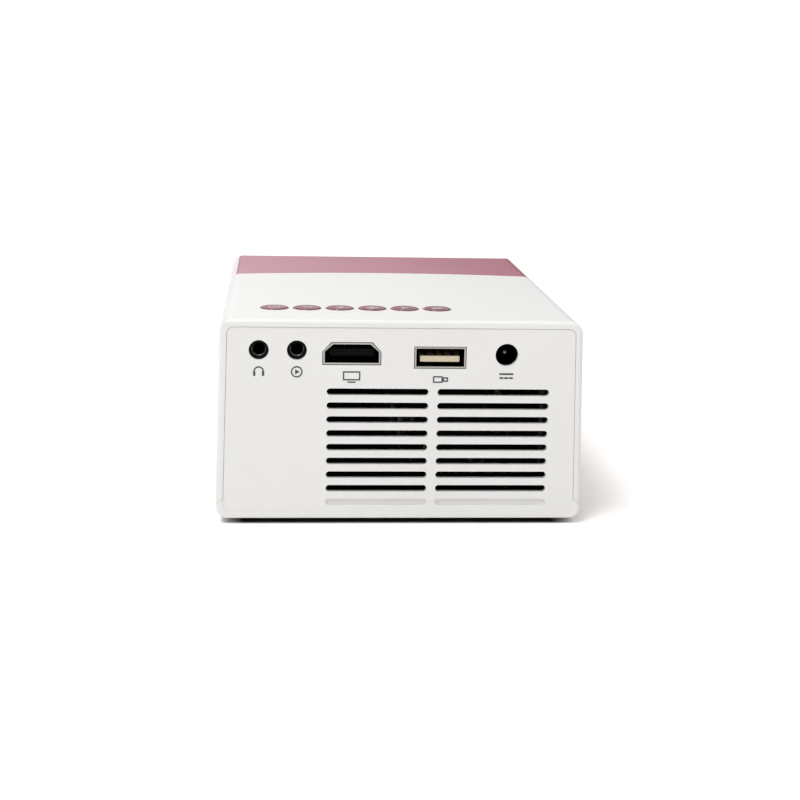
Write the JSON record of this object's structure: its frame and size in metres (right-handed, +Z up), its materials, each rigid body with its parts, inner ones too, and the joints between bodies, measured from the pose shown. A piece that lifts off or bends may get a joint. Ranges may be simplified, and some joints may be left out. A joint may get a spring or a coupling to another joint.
{
  "type": "home projector",
  "caption": "Compact LED home projector: white two-part case, rose gloss front panel, key row on top, sockets and air slots in the rear wall, focus ring in front.",
  "frame": {"origin": "on the resting surface, under the middle of the bounding box", "axes": "+Y is the direction of projection, +Z is up, +X is to the right seen from behind"},
  "size_m": [0.0958, 0.1334, 0.0543],
  "materials": {
    "shell_white": "satin moulded ABS, fine texture",
    "rose_gloss": "gloss, in-moulded colour",
    "key_mauve": "gloss",
    "black_plastic": "matt",
    "socket_metal": "nickel plated",
    "board_green": "solder mask",
    "capacitor_can": "satin",
    "contact_cream": "satin",
    "speaker_steel": "satin",
    "speaker_paper": "matt",
    "sink_aluminium": "extruded",
    "white_plastic": "matt",
    "phosphor": "matt",
    "optical_clear": "polished, coated",
    "heat_glass": "polished",
    "lcd_dark": "gloss",
    "flex_amber": "gloss",
    "lens_black": "satin",
    "rubber": "matt",
    "screw_steel": "plated",
    "brass": "machined",
    "lead_black": "satin",
    "lead_yellow": "satin",
    "lead_blue": "satin"
  },
  "bodies": {
    "root": {"top_cover": "shell_white", "bottom_shell": "shell_white", "front_panel": "rose_gloss", "key_switches": "socket_metal", "main_board": "board_green", "board_chips": "black_plastic", "board_capacitors": "capacitor_can", "audio_jack": "black_plastic", "av_jack": "black_plastic", "video_socket_shell": "socket_metal", "video_socket_tongue": "black_plastic", "data_socket_shell": "socket_metal", "data_socket_tongue": "contact_cream", "power_jack": "black_plastic", "power_jack_pin": "socket_metal", "remote_receiver": "black_plastic", "speaker_frame": "speaker_steel", "speaker_cone": "speaker_paper", "fan_frame": "black_plastic", "heat_sink": "sink_aluminium", "led_board": "white_plastic", "led_emitter": "phosphor", "condenser_lens": "optical_clear", "condenser_holder": "white_plastic", "optics_case": "black_plastic", "optics_lid": "black_plastic", "rear_fresnel_lens": "optical_clear", "heat_glass": "heat_glass", "lcd_panel": "lcd_dark", "lcd_flex": "flex_amber", "front_fresnel_lens": "optical_clear", "lens_tube": "lens_black", "rubber_feet": "rubber", "case_screws": "screw_steel", "board_screws": "screw_steel", "lid_screws": "screw_steel", "tripod_insert": "brass", "fan_lead": "lead_black", "led_lead": "lead_yellow", "speaker_lead": "lead_blue"},
    "key_1": {"button_1": "key_mauve", "switch_plunger_1": "black_plastic"},
    "key_2": {"button_2": "key_mauve", "switch_plunger_2": "black_plastic"},
    "key_3": {"button_3": "key_mauve", "switch_plunger_3": "black_plastic"},
    "key_4": {"button_4": "key_mauve", "switch_plunger_4": "black_plastic"},
    "key_5": {"button_5": "key_mauve", "switch_plunger_5": "black_plastic"},
    "key_6": {"button_6": "key_mauve", "switch_plunger_6": "black_plastic"},
    "rotor": {"fan_rotor": "black_plastic"},
    "ring": {"focus_ring": "lens_black"},
    "barrel": {"lens_barrel": "lens_black", "lens_element_rear": "optical_clear", "lens_element_middle": "optical_clear", "lens_element_front": "optical_clear", "lens_retaining_ring": "black_plastic"}
  },
  "joints": [
    {"name": "button_1_press", "type": "slide", "parent": "root", "child": "key_1", "axis": [0, 0, -1], "range_m": [0, 0.00035], "stiffness_N_per_m": 800},
    {"name": "button_2_press", "type": "slide", "parent": "root", "child": "key_2", "axis": [0, 0, -1], "range_m": [0, 0.00035], "stiffness_N_per_m": 800},
    {"name": "button_3_press", "type": "slide", "parent": "root", "child": "key_3", "axis": [0, 0, -1], "range_m": [0, 0.00035], "stiffness_N_per_m": 800},
    {"name": "button_4_press", "type": "slide", "parent": "root", "child": "key_4", "axis": [0, 0, -1], "range_m": [0, 0.00035], "stiffness_N_per_m": 800},
    {"name": "button_5_press", "type": "slide", "parent": "root", "child": "key_5", "axis": [0, 0, -1], "range_m": [0, 0.00035], "stiffness_N_per_m": 800},
    {"name": "button_6_press", "type": "slide", "parent": "root", "child": "key_6", "axis": [0, 0, -1], "range_m": [0, 0.00035], "stiffness_N_per_m": 800},
    {"name": "fan_spin", "type": "hinge", "parent": "root", "child": "rotor", "pos_m": [0.017, -0.04375, 0.0242], "axis": [0, 1, 0], "continuous": true},
    {"name": "focus_turn", "type": "hinge", "parent": "root", "child": "ring", "pos_m": [0.017, 0.05725, 0.0242], "axis": [0, 1, 0], "range_deg": [0, 110]},
    {"name": "barrel_slide", "type": "slide", "parent": "root", "child": "barrel", "axis": [0, 1, 0], "range_m": [0, 0.005]}
  ],
  "couplings": [
    {"joint": "barrel_slide", "follows": "focus_turn", "m_per_rad": 0.0026043}
  ]
}
